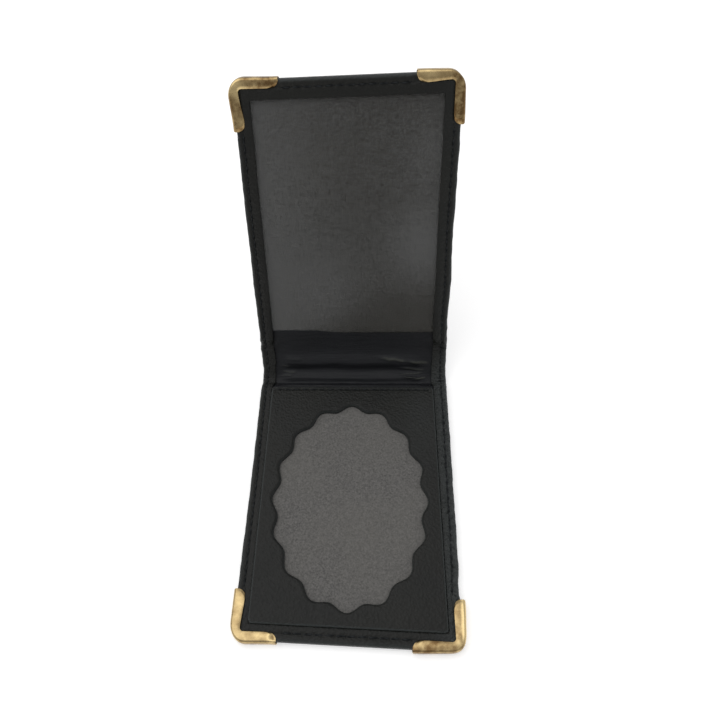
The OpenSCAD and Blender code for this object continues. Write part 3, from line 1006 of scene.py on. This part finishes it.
# Share of the arm's width and height of each line of the section, from the inner edge of the
# underside, round the rim, to the inner edge of the face
section = [(1, 0), (0.75, 0), (0.5, 0), (0.3, 0)]
section += [(0.24 * down, 0.9 * inward) for inward, down in list(quarter(1, 4))[1:]]
section += [(0, 1.5)]
section += [(rim_share * inward, blank_top - outer_fall - rim_deep * down)
            for inward, down in quarter(1, 8)]
section += [(rim_share + (1 - rim_share) * share,
             blank_top - outer_fall * (1 - share / crown_share) ** 2
             - inner_fall * max(share - crown_share, 0) ** 2)
            for share in (0.15, 0.3, 0.45, 0.6, 0.72, 0.82, 0.9, 0.95, 0.98, 0.995, 1)]


def guard_line(row, corner, width):
    """Point of the outer or inner outline at a row of the blank, in from the two outer sides."""
    straights = len(from_tip)
    if row < straights:
        share = from_tip[row] / from_tip[-1]
        return Vector((width.x, guard_arm + (width.y + corner - guard_arm) * share))
    if row >= straights + turn_steps - 1:
        share = from_tip[2 * straights + turn_steps - 2 - row] / from_tip[-1]
        return Vector((guard_arm + (width.x + corner - guard_arm) * share, width.y))
    turn = math.pi / 2 * (row - straights + 1) / turn_steps
    return width + Vector((corner - corner * math.cos(turn), corner - corner * math.sin(turn)))


rows = 2 * len(from_tip) + turn_steps - 1
blank = started(bpy.ops.mesh.primitive_grid_add, "corner_blank", x_subdivisions=rows - 1,
                y_subdivisions=len(section) - 1, size=1)
inner_width = Vector((guard_side_width, guard_end_width))
for corner in blank.data.vertices:
    row = round((corner.co.x + 0.5) * (rows - 1))
    share, height = section[round((corner.co.y + 0.5) * (len(section) - 1))]
    outer = guard_line(row, guard_corner, Vector((0, 0)))
    inner = guard_line(row, guard_inner_corner, inner_width)
    place = outer.lerp(inner, share)
    on_side = place.y > place.x
    tip = guard_arm - max(place)
    wide = inner_width.x if on_side else inner_width.y
    over = max((share - 1) * wide + guard_end_radius, 0)
    shy = guard_end_radius - math.sqrt(max(guard_end_radius ** 2 - over ** 2, 0))
    shy += 0.3 * (1 - soft_step(share * wide, 0, 0.7))
    pull = shy * (1 - soft_step(tip, 0, 9))
    if height > blank_top / 2:
        height -= tip_press * (1 - soft_step(tip, -0.2, 1.4)) * soft_step(share, 0, 0.5)
    corner.co = (place.x - (0 if on_side else pull), place.y - (pull if on_side else 0), height)


def reach_in(distance, far, outer, outer_tip, width, width_tip, blank_width):
    """Distance from the wallet's middle of a point of the blank that lies in by distance from
    an outer side, and far along the arm on that side: the arm's outer face and width run from
    their values at the corner to those at the tip."""
    share = soft_step(far, *arm_taper)
    wide = width + (width_tip - width) * share
    inward = distance * wide / blank_width
    if distance > blank_width:
        inward = distance + wide - blank_width
    return outer + (outer_tip - outer) * share - inward


def corner_guard(place, side, out, stains_and_shade, dents, along_side, along_end):
    """One corner, copied from the blank and pressed to its own shape, as guards gives it."""
    dimpled, raised, driven = dents
    *side_shape, side_arm = along_side
    *end_shape, end_arm = along_end
    top = card_border_top if out > 0 else badge_border_top
    guard = put_in("guard_" + place, blank.data.copy())
    stain_and_light_layer = guard.data.attributes.new("tarnish_and_light", "FLOAT", "POINT")
    for corner in guard.data.vertices:
        across, along, height = corner.co
        dent = noise.noise(Vector((across, along, 9 * side + 20 * out)) / 3.2)
        from_dimple = math.hypot(guard_arm - across - dimple_in, along - dimple_along)
        dimple = bump_at(from_dimple, dimple_wide)
        lip = bump_at(from_dimple - dimple_in, dimple_lip)
        # The raised rim and the inner corner are cleared of browning as a painted highlight.
        painted_highlight = raised * (soft_step(-across, -2.1, -1.3) * soft_step(along, 2, 5)
                           + bump_at(across - 3, 0.9) * bump_at(along - 3, 0.9)) / full_rise
        # Browning from the side arm to the end arm: partly real, partly painted shade.
        brown = line_through([(-6, stains_and_shade[0]), (-1.5, stains_and_shade[1]), (1.5, stains_and_shade[1]),
                              (6, stains_and_shade[2])], across - along)
        # Painted shade in the dimple and a painted highlight on its lip, over the browning.
        stain_and_light_layer.data[corner.index].value = 2 * dimpled * (dimple - lip) + (1 - painted_highlight) * brown
        if height > blank_top / 2:
            height += top - badge_border_top + dent_deep * dent + dimpled * (0.4 * lip - dimple)
            height += (raised * (1 - soft_step(across, 0.8, 1.9)) * soft_step(along, 3, 6)
                       * soft_step(-along, -guard_arm, -guard_arm + 3))
        bulge = driven * bump_at(across - along, 4.5) * soft_step(-across - along, -7.5, -3.5)
        across -= bulge
        along -= bulge
        half = reach_in(across + (end_arm - guard_arm) * soft_step(across, *arm_stretch), along,
                        *side_shape, guard_side_width)
        reach = reach_in(along + (side_arm - guard_arm) * soft_step(along, *arm_stretch), across,
                         *end_shape, guard_end_width)
        corner.co = (side * half, (spine_width if out > 0 else 0) + out * reach, height)
    face_up(guard)
    finish_with(guard, "SOLIDIFY", thickness=guard_thick, offset=-1, use_even_offset=True)
    finish_with(guard, "BEVEL", width=guard_edge_round, segments=2, limit_method="ANGLE",
                angle_limit=0.9)
    hang(guard, 50, brass, ["corner_" + place])
    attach(guard, "card_panel" if out > 0 else "badge_panel")


# Each corner: its side and its end of the wallet; how browned its side arm, its corner and its
# end arm are, partly as real browning and partly as painted shade and highlight; how deep the
# dimple by the end arm's tip is, with its painted shade, how far the side arm's rim stands up
# and is painted bright as a highlight, and how far the corner is driven out; and for each arm
# the place of its outer face at the corner and at the tip, its width at both, and its length
guards = {
    "lower_left": (-1, -1, (0.45, 0.42, 0.52), (0.3, 0.0, 0.0),
                   (38.8, 38.8, 3.5, 4.2, 17.1), (104.0, 103.6, 3.65, 3.4, 16.6)),
    "lower_right": (1, -1, (0.5, 0.62, 0.8), (0.0, 0.3, 0.25),
                    (38.85, 39.4, 3.4, 4.0, 16.6), (103.35, 104.0, 3.05, 3.75, 18.1)),
    "upper_left": (-1, 1, (0.7, 0.05, 0.8), (0.0, 0.0, 0.0),
                   (39.4, 38.75, 3.6, 4.3, 17.1), (103.95, 103.6, 3.45, 3.3, 17.8)),
    "upper_right": (1, 1, (1.1, 0.8, 0.48), (0.0, 0.0, -0.3),
                    (38.75, 39.2, 3.4, 3.8, 17.4), (103.75, 104.0, 2.9, 3.9, 16.5))}
brass = finish_of(stamped_brass)
for place, shape in guards.items():
    corner_guard(place, *shape)
bpy.data.objects.remove(blank)

# Stitching
# The border is lockstitched with waxed black nylon thread, 0.5 mm thick. Each stitch lies in a
# shallow channel, and its ends dive into the leather. The rows stop short of the brass.
stitch_long = 3.0
thread_radius = 0.27
thread_skew = 0.1
thread_slant = 0.06
lay_slant = 0.05
stitch_cuts = (-0.5, -0.38, -0.2, 0, 0.2, 0.38, 0.5)
stitch_dive = 0.6
stitch_proud = 0.12
border_seat = channel_deep - stitch_proud


def waxed_thread(tree, place):
    """Waxed bonded nylon: two black strands laid together, with a dull gleam on the lay."""
    lay = add(tree, "TexWave", {"Vector": place, "Scale": 1 / (0.7 * MM) / 6.3, "Distortion": 2},
              "Fac", wave_type="BANDS", bands_direction="DIAGONAL")
    tone = add(tree, "Mix", {0: lay, 6: linear("#191b1c"), 7: linear("#2b2d2e")}, 2,
               data_type="RGBA")
    rough = add(tree, "Bump", {"Height": lay, "Strength": 0.6, "Distance": 0.06 * MM})
    return add(tree, "BsdfPrincipled", {"Base Color": tone, "Roughness": 0.7,
                                        "Specular IOR Level": 0.1, "Normal": rough})


stitch = started(bpy.ops.mesh.primitive_cylinder_add, "stitch_blank", vertices=8,
                 radius=thread_radius, depth=stitch_long + 0.5, rotation=(math.pi / 2, 0, 0))
bpy.ops.object.mode_set(mode="EDIT")
cut_across(1, [stitch_long * share for share in stitch_cuts])
bpy.ops.object.mode_set(mode="OBJECT")
for corner in stitch.data.vertices:
    reach = abs(corner.co.y) / (stitch_long / 2)
    taper = 1 - 0.35 * soft_step(reach, 0.6, 1.2)
    corner.co.x = corner.co.x * taper + lay_slant * corner.co.y
    corner.co.z = corner.co.z * taper - stitch_dive * soft_step(reach, 0.5, 1.25)


def stitch_row(start, stop, place):
    """A row of stitches from start to stop, laid by place, which turns a distance along the row,
    a side step and a height into a point on the bench."""
    count = len(needle_holes(start, stop)) - 1
    step = (stop - start) / count
    row = put_in("stitch_row", stitch.data.copy())
    finish_with(row, "ARRAY", count=count, use_relative_offset=False, use_constant_offset=True,
                constant_offset_displace=(0, step, 0))
    for corner in row.data.vertices:
        which = round(corner.co.y / step)
        skew = noise.noise(Vector((which * 1.7, start, stop)))
        corner.co.x += skew * (thread_skew + thread_slant * (corner.co.y - which * step))
        corner.co = place(start + step / 2 + corner.co.y, corner.co.x, corner.co.z)
    return row


def thread_piece(name, rows, replaced):
    """Joins rows of stitches into one piece of thread in its place."""
    bpy.ops.object.select_all(action="DESELECT")
    for row in rows:
        row.select_set(True)
    bpy.context.view_layer.objects.active = rows[0]
    if len(rows) > 1:
        bpy.ops.object.join()
    rows[0].name = name
    hang(rows[0], 60, thread, replaced)
    return rows[0]


def edge_row(side):
    """How a row runs along the side border."""
    row = side * (body_half - side_stitch_inset)
    return lambda along, step, height: (
        row - side * waist(along, side) + step, along, border_top(along) - border_seat + height)


def end_row(out_end):
    """How a row runs along the border at a panel's outer end."""
    row = out_end - math.copysign(end_stitch_inset, out_end)
    return lambda along, step, height: (
        along, row + step, border_top(row) - border_seat + height)


def pad_row(along, step, height):
    """How the row runs across the pad beside the spine."""
    return along, -pad_near - pad_stitch_inset + step, pad_top - stitch_proud + height


thread = finish_of(waxed_thread)
row_end = guard_tip_along + row_clear
end_half = guard_tip_across - row_clear
for half, start, stop, out_end, nodes in (
        ("lower", badge_end + row_end, spine_middle, badge_end,
         ["badge_side_thread", "spine_thread"]),
        ("upper", spine_middle, card_end - row_end, card_end, ["card_side_thread"])):
    rows = [stitch_row(start, stop, edge_row(side)) for side in (-1, 1)]
    rows.append(stitch_row(-end_half, end_half, end_row(out_end)))
    bend(thread_piece("border_thread_" + half, rows, nodes))
pad_row_half = pad_half - pad_stitch_inset
pad_rows = [stitch_row(-pad_row_half, pad_row_half, pad_row)]
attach(thread_piece("pad_stitches", pad_rows, ["pad_thread"]), "badge_panel")
bpy.data.objects.remove(stitch)
